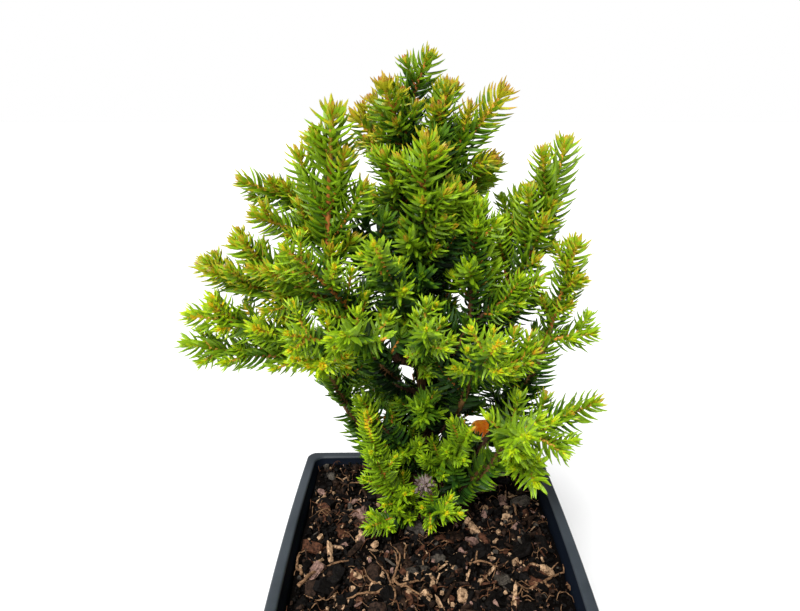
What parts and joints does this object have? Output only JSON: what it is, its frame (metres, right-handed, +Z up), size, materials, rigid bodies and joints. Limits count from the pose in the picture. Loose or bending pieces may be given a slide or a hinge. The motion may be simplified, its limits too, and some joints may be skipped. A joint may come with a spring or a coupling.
{
  "type": "potted conifer",
  "caption": "Young dwarf conifer with short awl-shaped needles on upright shoots, growing in a square tapered black plastic nursery pot full of bark compost.",
  "frame": {"origin": "middle of the pot's flat underside, at the level of the surface it stands on", "axes": "+Z up; +X to the viewer's right and +Y away from the viewer, both square to the pot's sides"},
  "size_m": [0.1303, 0.1051, 0.2353],
  "materials": {
    "pot": "matte",
    "compost": "matte",
    "bark": "matte",
    "needles_bronze": "satin",
    "needles_lime": "satin",
    "needles_green": "satin",
    "needles_deep": "satin"
  },
  "bodies": {
    "root": {"bough_front_left": "bark", "bough_front_right": "bark", "bough_left_low": "bark", "bough_left_mid": "bark", "bough_left_up": "bark", "bough_right": "bark", "bough_right_low": "bark", "bough_right_mid": "bark", "bough_right_upper": "bark", "needles_back_left": "needles_deep", "needles_back_left_up": "needles_deep", "needles_back_low": "needles_deep", "needles_back_mid": "needles_deep", "needles_back_right": "needles_deep", "needles_back_right_up": "needles_deep", "needles_back_upper": "needles_deep", "needles_centre_upper": "needles_green", "needles_foot_front": "needles_lime", "needles_foot_front_left": "needles_lime", "needles_foot_left": "needles_lime", "needles_front_left_out": "needles_lime", "needles_front_left_star": "needles_lime", "needles_front_left_up": "needles_lime", "needles_front_star_left": "needles_lime", "needles_front_stars": "needles_lime", "needles_left_leader": "needles_green", "needles_left_low_front": "needles_lime", "needles_left_low_out": "needles_lime", "needles_left_low_up": "needles_lime", "needles_left_mid": "needles_green", "needles_left_out": "needles_green", "needles_left_up": "needles_green", "needles_left_up_low": "needles_lime", "needles_low_arm": "needles_lime", "needles_low_left": "needles_lime", "needles_low_left_out": "needles_lime", "needles_low_shade": "needles_deep", "needles_right_front_stars": "needles_lime", "needles_right_inner": "needles_green", "needles_right_leader": "needles_green", "needles_right_low_edge": "needles_lime", "needles_right_low_hang": "needles_lime", "needles_right_low_out": "needles_lime", "needles_right_low_star": "needles_lime", "needles_right_mid_low": "needles_lime", "needles_right_mid_out": "needles_green", "needles_right_mid_up": "needles_green", "needles_right_out": "needles_green", "needles_right_out_up": "needles_green", "needles_top_leader": "needles_bronze", "needles_top_left": "needles_bronze", "needles_top_left_low": "needles_bronze", "needles_top_right": "needles_bronze", "needles_top_right_arm": "needles_bronze", "needles_upper_mid_left": "needles_green", "needles_upper_mid_right": "needles_green", "needles_upper_right": "needles_green", "pot": "pot", "soil": "compost", "trunk": "bark"}
  },
  "joints": []
}
